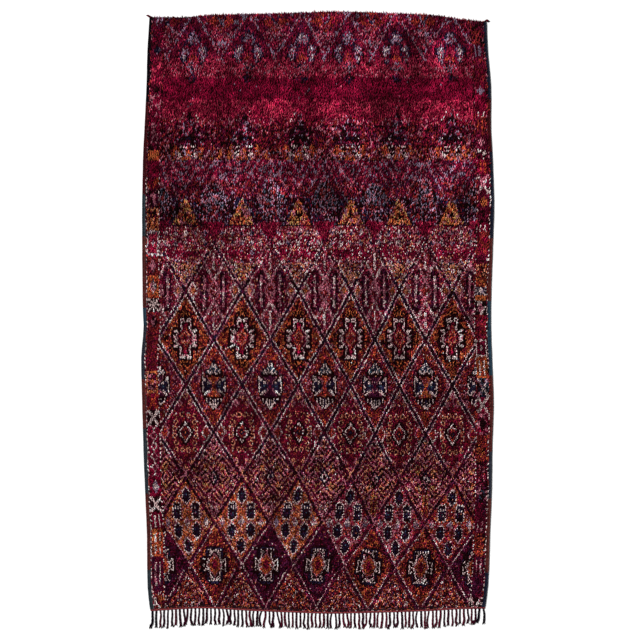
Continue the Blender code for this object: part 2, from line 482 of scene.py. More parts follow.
headBands = (  # rows down to, dyes
    (9, "WWACWMGWL"), (20, "WAAWCGWW"), (33, "WCAWCGW"), (38, "CGWGGC"), (47, "CGGCGPCGG"),
    (55, "CCWCCC"), (63, "CCWCC"), (76, "CGGCGCCGC"), (81, "CMGPWCW"), (97, "KWKMAWCMKWP"),
    (106, "WMKPWMKO"), (121, "CWAGCWAGL"), (133, "WAKWMGWMA"), (152, "KAWTLKAMW"),
    (165, "CWGCAWCP"), (190, "WPSMCGGP"),
)


def weaveHead(k):
    top = 0
    for down, bag in headBands:
        paint(k, (k.row >= top) & (k.row < down), bag)
        top = down


def lozenge(dc, dr, across, down):  # 1 on the edge of a lozenge of these half sizes
    return np.abs(dc) / across + np.abs(dr) / down


def sideLozenge(k):
    return lozenge(np.abs(k.dc) - 0.74 * k.half, k.dr, 4.0, 6.0)


def softMarks(k, here):
    dc, dr = k.dc, k.dr
    yield lozenge(dc, dr - 7, 11, 8) < 1, "MMRWMC"
    yield (lozenge(dc, dr - 17, 12, 10) < 1) & (k.luck < 0.6), "GPGWPL"
    yield (np.abs(np.abs(dc) - (9.0 - dr) * 0.55) < 0.9) & (dr > 2) & (dr < 9), "NLA"


def trefoils(k, here):  # lilac
    stampChart(k, trefoilChart, k.dc / 1.4, (k.dr + 5.5) / 1.4, here & (k.luck < 0.62))
    yield (lozenge(k.dc, k.dr - 7.5, 6, 5) < 1) & (k.luck < 0.6), "LGLPN"
    yield (lozenge(k.dc, k.dr - 15.7, 6, 4) < 1) & (k.luck < 0.8), "KNAW"


def darkPeaks(k, here):  # with ivory specks and an orange triangle under each
    dc, dr = k.dc, k.dr
    yield (k.b < -0.08) & (np.abs(k.a) < (k.b + 0.86) * 0.75), "KKAWKWLG"
    stampChart(k, peakChart, dc, dr, here & (k.luck < 0.9))
    yield k.cloth == dyeLetters.find("O"), "ORRO"
    lines = (np.abs((k.reach * 3.2) % 1.0 - 0.5) < 0.16) & (k.v > -1) & (k.v < 0.2)
    paint(k, lines & (k.luck < 0.55), "LPP")  # in the next row too
    # pale tents above the peaks, two of them crossed by orange lines
    yield (np.abs(np.abs(dc) - (dr + 35) * 0.55) < 0.9) & (dr > -35) & (dr < -20), "PIGW"
    streak = (k.u0 == 2) & (np.abs(dc + 18 + (dr + 16.4) * 0.49) < 0.8) & (dr > -31) & (dr < -16)
    streak |= (k.u0 == 4) & (np.abs(dc - 9 - (dr + 21) * 0.3) < 0.8) & (dr > -24) & (dr < -18)
    yield streak, "OMR"


def feathers(k, here):  # dark, with crimson tips
    dc, dr = k.dc, k.dr
    feather = (k.b > 0.0) & (k.b < 0.55)
    yield feather, "KKAKLKMWN"
    yield lozenge(dc, dr - 1, 13, 13) < 1, "KLTKWLKPM"
    strokes = (np.rint(dc).astype(int) % 3 == 0) & (np.rint(dr).astype(int) % 7 < 4)
    yield feather & (np.abs(k.a) < 0.5) & strokes, "PLW"
    yield (k.b > 0.52) & (k.reach < 0.92), "CCWCG"


def goldPeaks(k, here):  # under dark rafters, with a speckled ground below
    dc, dr, b = k.dc, k.dr, k.b
    yield (b < -0.30) & (np.abs(k.a) < b + 1.02), "KNKWA"
    slope = (dr + 31) / 18
    gold = (slope > 0) & (slope < 1) & (np.abs(dc) < 1.6 + 8.6 * slope)
    yield gold, "OMYKOSMP"
    yield gold & (np.abs(dc) > 8.6 * slope), "OMYP"
    for out, half, bag in ((4.0, 1.3, "KNKK"), (6.3, 0.9, "LAKP")):
        eave = np.abs(np.abs(dc) - out - 8.6 * slope) < half
        yield eave & (slope > -0.3) & (slope < 0.9), bag
    yield gold & (lozenge(dc, dr + 20, 1.6, 3) < 1), "K"
    middle = (b > -0.38) & (b < 0.42)
    yield middle, "CWPCIMGCSMPW"
    yield middle & (lozenge((dc + 4) % 8 - 4, (dr + 4) % 7 - 4, 2.1, 2.4) < 1), "ILPN"
    yield b >= 0.42, "SPKMOIPYMNPS"
    band = (k.v < 1.35) & (np.abs(k.row - 172.6) < 2.2)
    paint(k, band & (k.luck < 0.75), "CWCC")  # from side to side


def bars(k, here):  # lilac, on wine
    dc, tall = np.abs(k.dc), np.abs(k.b)
    yield True, "WMWAMPGWMW"
    yield (np.abs(dc - 7.8) < 3.2) & (tall < 0.42), "AKW"
    yield (np.abs(dc - 7.8) < 1.0) & (tall < 0.33), "IPP"
    joined = np.abs(np.abs(k.a) / 0.38 - (tall - 0.22) / 0.40) < 0.15
    yield joined & (tall > 0.2) & (tall < 0.64), "PIP"
    yield (dc < 0.9) & (tall > 0.42) & (tall < 0.80), "IIP"
    small = lozenge(dc, k.dr, 4.6, 7.5)
    yield small < 1.0, "PWM"
    yield (small > 0.85) & (small < 1.2), "P"
    for size, bag in ((1.15, "IP"), (0.75, "MP"), (0.48, "OS")):
        yield sideLozenge(k) < size, bag


def medallions(k, here):  # stepped, on orange
    yield True, "OORMRWOKRMWMOKK"
    stampChart(k, steppedChart, k.dc, k.dr + 1, here, "K")


def turtles(k, here):  # on madder, every second one with an orange body
    yield True, "MWRWAMPW"
    yield np.abs(k.b) > 0.55, "RMOMWMWR"
    stampChart(k, turtleChart, k.dc, k.dr, here, "K")
    yield (k.cloth == dyeLetters.find("A")) & (np.abs(k.dc) < 8) & (k.u0 % 4 == 1), "ORM"


def eyes(k, here):  # among small rings, on crimson
    yield True, "CWMWCWWM"
    for across, down in ((4.5, 21), (0.0, 26)):
        speck = lozenge(np.abs(k.dc) - across, np.abs(k.dr) - down, 2.2, 3.0)
        yield (speck > 0.40) & (speck < 1.15), "PPS"
    stampChart(k, eyeChart, k.dc, k.dr, here)
    yield sideLozenge(k) < 1.15, "IP"
    yield sideLozenge(k) < 0.75, "MRC"


def fretwork(k, here):  # chevrons that point to the middle
    dc, dr = k.dc, k.dr
    yield True, "WWKMWK"
    fret = (np.abs((dc + 7) % 14 - 7) - np.abs(dr) * 0.95) % 4.2 < 1.6
    yield fret & (k.reach < 0.94), "PSP"
    patch = lozenge(np.abs(k.a) - 0.28, np.abs(k.b) - 0.20, 0.13, 0.12) < 1
    yield patch & fret, "SYS"
    yield patch & ~fret, "WMOK"
    tiny = lozenge(dc, dr, 2.6, 4.0)
    yield tiny < 1.7, "KKN"
    yield (tiny > 0.55) & (tiny < 1.05), "PI"
    flame = (k.u0 > 6) & (np.abs(dc) < 2.8) & (dr > 9) & (dr < 28)
    yield flame, "OMYOM"
    yield flame & (np.abs(dc) < 0.8), "MKW"
    yield (k.u0 < 6) & (lozenge(np.abs(dc) - 1.8, dr - 22, 1.6, 3.5) < 1), "PIP"


def rosettes(k, here):  # on orange to the left, crimson to the right
    dc, dr = np.abs(k.dc), k.dr
    yield k.u0 < 5, "OOMOROSW"
    yield k.u0 >= 5, "CMCPMRPWG"
    yield k.u0 > 9, "RMWCWRMO"
    for chart, across, down in (
        (rosetteChart, 0, -19), (bracketChart, 7.6, -8), (rosetteChart, 7.6, 6), (rosetteChart, 0, 17),
    ):
        stampChart(k, chart, dc - across, dr - down, here)
    yield lozenge(dc, dr, 2.8, 4) < 1, "LIP"
    yield lozenge(dc - 0.70 * k.half, dr, 2.6, 4) < 1, "LPI"


def stars(k, here):  # on aubergine, three of them on orange
    yield True, "AAWAWK"
    yield np.isin(k.u0, (1, 7, 9)), "OMWRMWOKM"
    stampChart(k, starChart, k.dc, k.dr - 1, here, "K")


def cutDiamonds(k, here):  # at the foot, with squiggles
    dc, dr = k.dc, k.dr
    yield True, "MWOMWKMROWMR"
    yield np.abs((k.reach * 4.5 + 0.3) % 1.0 - 0.5) < 0.10, "KNA"
    squiggle = np.abs((dc + 1.6 * np.sin(dr * 1.1)) % 6 - 3) < 1.2
    squiggle &= (np.rint(dr + 2 * np.floor(dc / 6)) % 7) < 5
    yield squiggle & (k.luck < 0.82), "IPSWPS"


diamondRows = {
    -4: softMarks, -3: trefoils, -1: darkPeaks, 0: feathers, 1: goldPeaks, 2: bars, 3: medallions,
    4: turtles, 5: eyes, 6: fretwork, 7: rosettes, 8: stars, 9: cutDiamonds,
}


def weaveSpecks(k):  # odd pale knots over the grounds, more in the speckled rows
    ground = np.isin(k.cloth, codes("WMCROA")) & (k.v > 1.3)
    share = np.where(np.isin(k.v0, (2, 6, 7, 9)), 0.10, 0.025)
    paint(k, ground & (k.luck > 1 - share), "PSIP")


latticeLine = {  # metres: half widths of the bands between the diamonds
    "pale": 0.0136,
    "dark": 0.0068,
    "lowerWine": 0.0092,
    "lowerDark": 0.0070,
    "lowerPale": 0.0036,
    "paleOffset": 0.0100,
    "faint": 0.006,
    "rows": 33.0,  # in half a diamond
}


def weaveLines(k):
    u, v = k.u, k.v
    stepX, stepY = knot["across"] * k.half, knot["along"] * latticeLine["rows"]
    steep = np.sqrt(1 / stepX**2 + 1 / stepY**2)
    rising = ((u + v + 1) % 2 - 1) / steep  # metres to the rising lines
    falling = ((u - v + 1) % 2 - 1) / steep
    off = np.minimum(np.abs(rising), np.abs(falling))
    upper = (v > 0.9) & (v < 5.6) & (k.luck < np.clip(0.45 + (v - 0.9) * 0.45, 0, 1))  # fades in
    paint(k, upper & (off < latticeLine["pale"]), "IPPI")
    paint(k, upper & (off < latticeLine["dark"]), "KNKAW")
    lower = v >= 5.6
    paint(k, lower & (off < latticeLine["lowerWine"]), "WAKWA")
    paint(k, lower & (v < 7) & (off < latticeLine["lowerDark"]), "KAKW")
    below = np.where((v > 6.9) & (v < 8.1), -1, 1)  # the pale line changes sides at the rosettes
    paleLine = np.abs(rising + latticeLine["paleOffset"] * below) < latticeLine["lowerPale"]
    paleLine |= np.abs(falling - latticeLine["paleOffset"]) < latticeLine["lowerPale"]
    paint(k, lower & paleLine, "IPPIP")
    paint(k, lower & paleLine & (v < 7.2), "PMPS")
    faintShare = np.where(v < -2.9, 0.6, np.where((v > -1) & (v <= 0.9), 0.15, 0.03))
    paint(k, (v <= 0.9) & (off < latticeLine["faint"]) & (k.luck < faintShare), "PLL")


def weavePattern(column, row, fromLeft, fromRight, draw, luck):  # a dye for every knot
    u, v, half = latticePlace(column, row)
    p, q = np.floor((u + v) / 2) + 0.5, np.floor((u - v) / 2) + 0.5
    u0, v0 = np.rint(p + q).astype(int), np.rint(p - q).astype(int)
    a, b = u - u0, v - v0
    middleRow = np.interp(v0 - firstLatticeRow, np.arange(len(latticeRows)), latticeRows)
    k = SimpleNamespace(
        cloth=mixed("WWM", draw), draw=draw, luck=luck, row=row, u=u, v=v, u0=u0, v0=v0,
        a=a, b=b, dc=a * half, dr=row - middleRow, half=half, reach=np.abs(a) + np.abs(b),
    )
    weaveHead(k)
    for number, layers in diamondRows.items():
        here = np.minimum(v0, max(diamondRows)) == number
        for where, bag in layers(k, here):
            paint(k, here & where, bag)
    weaveSpecks(k)
    weaveLines(k)
    weaveBorder(k, fromLeft, leftBlocks)
    weaveBorder(k, fromRight, rightBlocks)
    return k.cloth


# Wool: one node group for every yarn in the rug

def setInputs(node, values):
    for socket, value in values.items():
        node.inputs[socket].default_value = value


def addNode(tree, kind, values=None, operation=""):
    node = tree.nodes.new(kind)
    if operation:
        node.operation = operation
    setInputs(node, values or {})
    return node


def linkNodes(tree, *rows):  # a node, its output, the next node, its input
    for start, output, end, entrance in rows:
        tree.links.new(start.outputs[output], end.inputs[entrance])


def buildWoolGroup():
    group = bpy.data.node_groups.new("woolFibre", "ShaderNodeTree")
    for name, kind, value in (
        ("Colour", "NodeSocketColor", (0.5, 0.5, 0.5, 1.0)),
        ("Fibre scale", "NodeSocketFloat", 900.0),
        ("Fibre depth", "NodeSocketFloat", 0.3),
    ):
        socket = group.interface.new_socket(name=name, in_out="INPUT", socket_type=kind)
        socket.default_value = value
    for name, kind in (
        ("Colour", "NodeSocketColor"), ("Height", "NodeSocketFloat"), ("Roughness", "NodeSocketFloat"),
    ):
        group.interface.new_socket(name=name, in_out="OUTPUT", socket_type=kind)
    entry = addNode(group, "NodeGroupInput")
    leave = addNode(group, "NodeGroupOutput")
    place = addNode(group, "ShaderNodeTexCoord")
    fibre = addNode(group, "ShaderNodeTexNoise", {"Detail": 3.0, "Roughness": 0.65})
    wear = addNode(group, "ShaderNodeTexNoise", {"Scale": 7.0, "Detail": 2.0})
    # fibre tone from the noise, also darker in its low spots as painted shade in the grooves and lighter
    # on the crests
    shade = addNode(group, "ShaderNodeMapRange", {"From Min": 0.3, "From Max": 0.7})
    low = addNode(group, "ShaderNodeMath", {0: 1.0}, "SUBTRACT")
    high = addNode(group, "ShaderNodeMath", {0: 1.0}, "ADD")
    dim = addNode(group, "ShaderNodeMapRange", {"To Min": 0.86, "To Max": 1.14})
    both = addNode(group, "ShaderNodeMath", operation="MULTIPLY")
    tint = addNode(group, "ShaderNodeVectorMath", operation="SCALE")
    rough = addNode(group, "ShaderNodeMapRange", {"To Min": 0.80, "To Max": 1.0})
    linkNodes(
        group,
        (place, "Object", fibre, "Vector"),
        (place, "Object", wear, "Vector"),
        (entry, "Fibre scale", fibre, "Scale"),
        (entry, "Fibre depth", low, 1),
        (entry, "Fibre depth", high, 1),
        (low, 0, shade, "To Min"),
        (high, 0, shade, "To Max"),
        (fibre, "Fac", shade, "Value"),
        (wear, "Fac", dim, "Value"),
        (shade, "Result", both, 0),
        (dim, "Result", both, 1),
        (entry, "Colour", tint, 0),
        (both, 0, tint, "Scale"),
        (tint, 0, leave, "Colour"),
        (fibre, "Fac", leave, "Height"),
        (fibre, "Fac", rough, "Value"),
        (rough, "Result", leave, "Roughness"),
    )
    return group


woolGroup = buildWoolGroup()


def woolMaterial(name, scale, depth, bump, sheen):
    material = bpy.data.materials.new(name)
    material.use_nodes = True
    tree = material.node_tree
    shader = tree.nodes["Principled BSDF"]
    setInputs(shader, {"Sheen Weight": sheen, "Sheen Roughness": 0.5, "Specular IOR Level": 0.0})
    dye = addNode(tree, "ShaderNodeAttribute")
    dye.attribute_name = "dye"
    wool = addNode(tree, "ShaderNodeGroup")
    wool.node_tree = woolGroup
    setInputs(wool, {"Fibre scale": scale, "Fibre depth": depth})
    relief = addNode(tree, "ShaderNodeBump", {"Strength": bump, "Distance": 0.001})
    linkNodes(
        tree,
        (dye, "Color", wool, "Colour"),
        (wool, "Colour", shader, "Base Color"),
        (wool, "Roughness", shader, "Roughness"),
        (wool, "Height", relief, "Height"),
        (relief, "Normal", shader, "Normal"),
    )
    return material


pileMaterial = woolMaterial("pileWool", 700.0, 0.40, 0.4, 0.0)
cordMaterial = woolMaterial("spunWool", 900.0, 0.35, 0.5, 0.0)
groundMaterial = woolMaterial("groundWeave", 450.0, 0.35, 0.6, 0.10)
print("materials built")


def meshOf(bm, name):
    mesh = bpy.data.meshes.new(name)
    bm.to_mesh(mesh)
    bm.free()
    return mesh


def addObject(name, data):
    item = bpy.data.objects.new(name, data)
    bpy.context.scene.collection.objects.link(item)
    return item


def dressPiece(piece, material, slotName, *nodes):
    piece.data.materials.append(material)
    piece.data.polygons.foreach_set("use_smooth", np.ones(len(piece.data.polygons), bool))
    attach(piece, "root")
    if nodes:
        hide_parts(*nodes)
    return piece


def meshFromArrays(name, points, triangles, colours, cells):
    mesh = bpy.data.meshes.new(name)
    mesh.vertices.add(len(points))
    mesh.vertices.foreach_set("co", points.astype(np.float32).ravel())
    mesh.loops.add(triangles.size)
    mesh.loops.foreach_set("vertex_index", triangles.astype(np.int32).ravel())
    mesh.polygons.add(len(triangles))
    mesh.polygons.foreach_set("loop_start", np.arange(0, triangles.size, 3, dtype=np.int32))
    mesh.update(calc_edges=True)
    dye = mesh.color_attributes.new(name="dye", type="FLOAT_COLOR", domain="POINT")
    rgba = np.ones((len(points), 4), np.float32)
    rgba[:, :3] = colours
    dye.data.foreach_set("color", rgba.ravel())
    layer = mesh.uv_layers.new(name="OFBake")
    layer.data.foreach_set("uv", cells.astype(np.float32).ravel())
    return addObject(name, mesh)


# The pile: every knot is a small leaning lock of wool

pile = {  # lengths in metres
    "seed": 41,
    "columns": 280,
    "rows": 424,
    "rootHeight": 0.0036,
    "belly": 0.58,  # part of the lock's height
    "bellyRadius": 0.0035,
    "heightSpread": 0.0020,
    "wander": 0.24,  # part of a knot
    "longRow": 190,  # the pile grows long above this row
    "longFade": 60,
    "lean": 0.0110,
    "headLean": 0.0050,  # added where the pile is long
    "leanSpread": 0.0030,
    "swirl": 0.0016,  # lean that neighbours share
    "swirlKnots": 9.0,
    "tipShift": 0.6,  # the pattern is seen at the leaning tips
    "rightDrop": 2.2,  # rows that the pattern sinks at the lower right
    "rim": 0.014,
    "rimReach": 0.0045,
    "patch": 0.50,  # how far neighbours draw alike
    "locksInPiece": 33000,
    "strength": 0.92,
    "valueSpread": 0.38,
    "clumpSpread": 0.30,
    "clumpKnots": 3.6,
    # a share of the locks painted dark, as painted shade of locks lying in shadow among their neighbours
    "shadedShare": 0.12,
    "shadedValue": 0.32,
    "borderValue": 1.15,  # the left border is lighter
    # wear: brightness at these rows
    "wearRows": (20, 40, 55, 110, 128, 155, 175, 200, 234, 266, 300, 332, 364, 395, 420),
    "wear": (0.98, 1.2, 1.06, 1.02, 0.88, 0.98, 1.2, 1.12, 1.0, 1.03, 0.92, 1.12, 1.2, 1.14, 1.05),
    # painted light along each lock: a dark root as painted shade between the locks, a bright tip as
    # painted highlight
    "rootShade": 0.05,
    "bellyShade": 0.75,
    "tipShade": 1.55,
}
lockFamilies = (  # piece, dyes
    ("pile_wine", "W"), ("pile_madder", "MR"), ("pile_crimson", "C"), ("pile_pink", "PSG"),
    ("pile_ivory", "ILY"), ("pile_dark", "KNT"), ("pile_orange", "OA"),
)


def lockTemplate():
    bm = bmesh.new()
    bmesh.ops.create_cone(
        bm, cap_ends=True, segments=3, radius1=1.0, radius2=0.0, depth=1.0 - pile["belly"]
    )
    bmesh.ops.remove_doubles(bm, verts=bm.verts, dist=0.0001)
    bmesh.ops.translate(bm, verts=bm.verts, vec=(0, 0, 0.5 * (1.0 + pile["belly"])))
    base = min(bm.faces, key=lambda face: face.calc_center_median().z)
    root = bmesh.ops.poke(bm, faces=[base])["verts"][0]
    root.co = (0, 0, 0)
    bmesh.ops.recalc_face_normals(bm, faces=bm.faces)
    bm.verts.index_update()
    points = np.array([corner.co for corner in bm.verts])
    triangles = np.array([[corner.index for corner in face.verts] for face in bm.faces])
    bm.free()
    return points, triangles


def lockCells(points, triangles):
    # the lock's six faces laid out side by side in a square cell
    angle = np.arctan2(points[:, 1], points[:, 0])
    cells = np.zeros((len(triangles), 3, 2))
    for index, triangle in enumerate(triangles):
        rim = [corner for corner in triangle if 0.1 < points[corner, 2] < 0.99]
        middle = math.atan2(sum(points[rim, 1]), sum(points[rim, 0]))
        third = int(round((middle + math.pi) / (2 * math.pi / 3))) % 3
        for spot, corner in enumerate(triangle):
            if corner in rim:
                turn = (angle[corner] - middle + math.pi) % (2 * math.pi) - math.pi
                cells[index, spot] = (third + (0.95 if turn > 0 else 0.05), 0.5)
            else:
                cells[index, spot] = (third + 0.5, 0.97 if points[corner, 2] > 0.5 else 0.03)
    cells[..., 0] /= 3
    return cells


def clumps(rng, column, row, size):  # smooth noise over the cloth, about -2 to 2
    across, down = (column + 160) / size, (row + 20) / size
    grid = rng.normal(0, 1.3, (int(down.max()) + 3, int(across.max()) + 3))
    left, top = across.astype(int), down.astype(int)
    p, q = across - left, down - top
    p, q = p * p * (3 - 2 * p), q * q * (3 - 2 * q)
    upper = grid[top, left] * (1 - p) + grid[top, left + 1] * p
    lower = grid[top + 1, left] * (1 - p) + grid[top + 1, left + 1] * p
    return upper * (1 - q) + lower * q


def patchyDraw(rng, rows, columns):  # even odds, alike over neighbouring knots
    field = rng.normal(0, 1, (rows, columns))
    for axis in (0, 1):
        field = field + pile["patch"] * (np.roll(field, 1, axis) + np.roll(field, -1, axis))
    order = field.ravel().argsort().argsort()
    return (order + 0.5) / order.size


def lockColours(rng, cloth, row, column, across, fromLeft, long):
    pale = np.isin(cloth, codes("IPSLY"))
    count = len(cloth)
    spread = pile["valueSpread"] * (1 - 0.25 * long)
    value = np.exp(rng.normal(0, 1, count) * spread * np.where(pale, 0.6, 1.0))
    # painted shade: some locks darkened as if in shadow between their neighbours
    shadedLocks = rng.uniform(0, 1, count) < pile["shadedShare"] * np.where(pale, 0.4, 1.0)
    value *= np.where(shadedLocks, pile["shadedValue"], 1.0)
    near, broad = pile["clumpKnots"], 6 * pile["clumpKnots"]
    value *= np.exp(clumps(rng, column, row, near) * pile["clumpSpread"])
    value *= np.exp(clumps(rng, column, row, broad) * (pile["clumpSpread"] * (0.45 + 0.6 * long)))
    value *= 1.05 - 0.11 * across * np.clip((row - 150) / 60, 0, 1)  # darker towards the right in the lower rows
    value *= np.interp(row, pile["wearRows"], pile["wear"])
    value *= np.where(fromLeft < border["width"], pile["borderValue"], 1.0)
    rowValue = 1 + 0.10 * np.sin(row * 0.21) * np.sin(row * 0.057 + 1) + 0.06 * np.sin(row * 1.3)
    colour = dyeTable[cloth] * (value * rowValue * pile["strength"])[:, None]
    return np.clip(colour, 0.002, 0.92)


def lockLeans(rng, x, y, row, column, leanY, long):
    left, right = np.interp(y, *leftLine), np.interp(y, *rightLine)
    foot, head = np.interp(x, *footLine), np.interp(x, *headLine)
    leanX = rng.normal(0, 0.7 * pile["leanSpread"], len(x)) * (0.6 + long)
    leanX += clumps(rng, column, row, pile["swirlKnots"]) * pile["swirl"]
    leanY = leanY + rng.normal(0, pile["leanSpread"], len(x)) * (0.6 + 0.4 * long)
    reach = pile["rimReach"] * (1 + 0.5 * long)
    leanX -= np.clip(1 - (x - left) / pile["rim"], 0, 1) * reach
    leanX += np.clip(1 - (right - x) / pile["rim"], 0, 1) * reach
    leanY -= np.clip(1 - (y - foot) / pile["rim"], 0, 1) * pile["lean"]
    leanY -= np.clip(1 - (head - y) / pile["rim"], 0, 1) * 0.3 * pile["lean"]
    return leanX, leanY


def buildLocks(cloth, colour, spots, triangles, cells, shade):  # a few pieces for each family
    pieces = []
    for name, letters in lockFamilies:
        chosen = np.flatnonzero(np.isin(cloth, codes(letters)))
        parts = math.ceil(len(chosen) / pile["locksInPiece"])
        for part in range(parts):
            some = chosen[part::parts]
            number = len(some)
            faces = triangles[None] + (np.arange(number) * spots.shape[1])[:, None, None]
            side = math.ceil(math.sqrt(number))
            cell = np.stack([np.arange(number) % side, np.arange(number) // side], axis=1)
            layout = (cells[None] * 0.96 + 0.02 + cell[:, None, None, :]) / side
            # each lock's dye times its painted shade at the root and painted highlight at the tip
            tints = colour[some][:, None, :] * shade[None, :, None]
            pieceName = name if parts == 1 else f"{name}_{part + 1}"
            piece = meshFromArrays(
                pieceName, spots[some].reshape(-1, 3), faces.reshape(-1, 3),
                tints.reshape(-1, 3), layout.reshape(-1, 2),
            )
            pieces.append(dressPiece(piece, pileMaterial, "pile_wool", "pile_field"))
            print(pieceName, number, "locks")
    return pieces


def plantPile():
    rng = np.random.RandomState(pile["seed"])
    columns, rows = pile["columns"], pile["rows"]
    across, up = np.meshgrid(
        (np.arange(columns) + 0.5) / columns, (np.arange(rows) + 0.5) / rows
    )
    across, up = across.ravel(), up.ravel()
    count = len(across)
    wanderX = rng.uniform(-1, 1, count) * pile["wander"] / columns
    wanderY = rng.uniform(-1, 1, count) * pile["wander"] / rows
    x, y = clothPlace(np.clip(across + wanderX, 0, 1), np.clip(up + wanderY, 0, 1))
    fromLeft = (x - np.interp(y, *leftLine)) / knot["across"]
    fromRight = (np.interp(y, *rightLine) - x) / knot["across"]
    column = (x - knot["middleX"]) / knot["across"]
    row = (knot["headY"] - y) / knot["along"]
    long = np.clip((pile["longRow"] - row) / pile["longFade"], 0, 1)
    leanY = pile["lean"] + pile["headLean"] * long
    row -= pile["tipShift"] * leanY / knot["along"]
    row -= pile["rightDrop"] * np.clip(column / 70, 0, 1) * np.clip((row - 240) / 80, 0, 1)
    draw, luck = patchyDraw(rng, rows, columns), rng.uniform(0, 1, count)
    cloth = weavePattern(column, row, fromLeft, fromRight, draw, luck)
    print("pattern woven,", count, "knots")

    colour = lockColours(rng, cloth, row, column, across, fromLeft, long)
    height = solidTop(x, y) - pile["rootHeight"] + rng.normal(0, pile["heightSpread"], count)
    turn = rng.uniform(0, 2 * math.pi, count)
    radius = pile["bellyRadius"] * rng.uniform(0.85, 1.2, count)
    leanX, leanY = lockLeans(rng, x, y, row, column, leanY, long)

    points, triangles = lockTemplate()
    tip = points[:, 2]
    bend = tip ** 1.3
    cos, sin = np.cos(turn)[:, None], np.sin(turn)[:, None]
    localX = points[None, :, 0] * cos - points[None, :, 1] * sin
    localY = points[None, :, 0] * sin + points[None, :, 1] * cos
    spots = np.empty((count, len(points), 3))
    spots[..., 0] = x[:, None] + localX * radius[:, None] + leanX[:, None] * bend
    spots[..., 1] = y[:, None] + localY * radius[:, None] + leanY[:, None] * bend
    spots[..., 2] = pile["rootHeight"] + height[:, None] * tip
    # painted highlight at the tips, painted shade at the roots, painted into the dye
    shade = np.where(tip > 0.9, pile["tipShade"], pile["bellyShade"])
    shade = np.where(tip < 0.1, pile["rootShade"], shade)
    return buildLocks(cloth, colour, spots, triangles, lockCells(points, triangles), shade)


pilePieces = plantPile()


# Rolled sheets make every cord: a grid wrapped round a path and closed at its ends

floorGap = 0.0002


def rollCord(name, steps, around, place, tint):
    bm = bmesh.new()
    bmesh.ops.create_grid(bm, x_segments=steps, y_segments=around, size=0.5)
    layer = bm.verts.layers.float_color.new("dye")
    for corner in bm.verts:
        along, turn = corner.co.x + 0.5, corner.co.y + 0.5
        corner[layer] = (*tint(along), 1.0)
        x, y, z = place(along, 2 * math.pi * turn)
        corner.co = (x, y, max(z, floorGap))
    bmesh.ops.remove_doubles(bm, verts=bm.verts, dist=0.00001)
    bmesh.ops.holes_fill(bm, edges=[edge for edge in bm.edges if edge.is_boundary], sides=around)
    bmesh.ops.recalc_face_normals(bm, faces=bm.faces)
    return meshOf(bm, name)


def joinMeshes(name, meshes):
    bm = bmesh.new()
    for mesh in meshes:
        bm.from_mesh(mesh)
        bpy.data.meshes.remove(mesh)
    return addObject(name, meshOf(bm, name))


# Selvedges: two side cords each, overcast with wool in changing colours

selvedge = {
    "cordWide": 0.0052,
    "cordHigh": 0.0044,
    "wrapPitch": 0.0066,
    "wrapRelief": 0.13,
    "wrapSlant": 0.0022,
    "cordPitch": 1.86,  # in cord widths
    "leftReach": 0.0026,  # the left cords stand out, from this height down
    "reachBelow": 1.15,
    "reachFade": 0.3,
    "ringsInWrap": 3,
    "around": 8,
    "strength": 0.90,
    "leftSeed": 7,
    "rightSeed": 8,
}
selvedgeWools = {
    "black": (24, 18, 23), "wine": (62, 26, 30), "slate": (46, 48, 56), "teal": (47, 53, 58),
    "petrol": (42, 58, 70), "brown": (80, 42, 40), "navy": (34, 36, 48),
}
leftBands = (  # rows of knots down from the head, wool
    (64, "black"), (66, "wine"), (30, "teal"), (51, "brown"), (13, "petrol"), (38, "slate"),
    (36, "brown"), (46, "teal"), (55, "brown"), (60, "teal"),
)
rightBands = (
    (62, "navy"), (38, "wine"), (62, "navy"), (45, "brown"), (53, "petrol"), (54, "brown"),
    (34, "slate"), (53, "brown"), (60, "navy"),
)


def bandWool(bands, row):
    for tall, wool in bands:
        if row < tall:
            return wool
        row -= tall
    return bands[-1][1]


def buildSelvedge(side, bands):
    dice = random.Random(selvedge[side + "Seed"])
    node = "selvedge_" + side
    floor = floorPoints(node)
    low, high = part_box(node)
    ys = np.unique(np.round(floor[:, 1], 5))
    near = [floor[np.abs(floor[:, 1] - y) < 0.0001, 0] for y in ys]
    outer = [spots.min() if side == "left" else spots.max() for spots in near]
    inward = 1.0 if side == "left" else -1.0
    length = high.y - low.y
    wraps = int(length / selvedge["wrapPitch"])
    steps = wraps * selvedge["ringsInWrap"]
    wrapTints = []
    for wrap in range(wraps + 1):
        y = low.y + length * wrap / wraps
        row = (knot["headY"] - y) / knot["along"]
        base = linearColour(*selvedgeWools[bandWool(bands, row)])
        value = selvedge["strength"] * math.exp(dice.gauss(0, 0.16))
        wrapTints.append(tuple(min(channel * value, 0.9) for channel in base))
    meshes = []
    for number in (0, 1):
        middle = selvedge["cordWide"] * (1.0 + selvedge["cordPitch"] * number)

        def place(along, turn):
            y = low.y + along * length
            phase = along * wraps * 2 * math.pi
            relief = 1 + selvedge["wrapRelief"] * (math.sin(phase) - 0.4)
            wobble = 1 + 0.04 * math.sin(23 * y + number) + 0.03 * math.sin(61 * y)
            swing = math.cos(turn) * selvedge["cordWide"] * relief * wobble
            lift = math.sin(turn) * selvedge["cordHigh"] * relief * wobble
            below = min(max((selvedge["reachBelow"] - y) / selvedge["reachFade"], 0), 1)
            reach = selvedge["leftReach"] * below if side == "left" else 0
            x = float(np.interp(y, ys, outer)) + inward * (middle - reach) + swing
            slant = math.cos(turn) * selvedge["wrapSlant"] * min(1.0, 40 * min(along, 1 - along))
            return x, y + slant, selvedge["cordHigh"] * 1.02 + lift

        def tint(along):
            return wrapTints[int(along * wraps)]

        meshes.append(rollCord(node, steps, selvedge["around"], place, tint))
    piece = joinMeshes(node + "_wraps", meshes)
    return dressPiece(piece, cordMaterial, "selvedge_wool", node)


selvedgePieces = [buildSelvedge("left", leftBands), buildSelvedge("right", rightBands)]
print("selvedges wrapped")


# Foot web and fringe

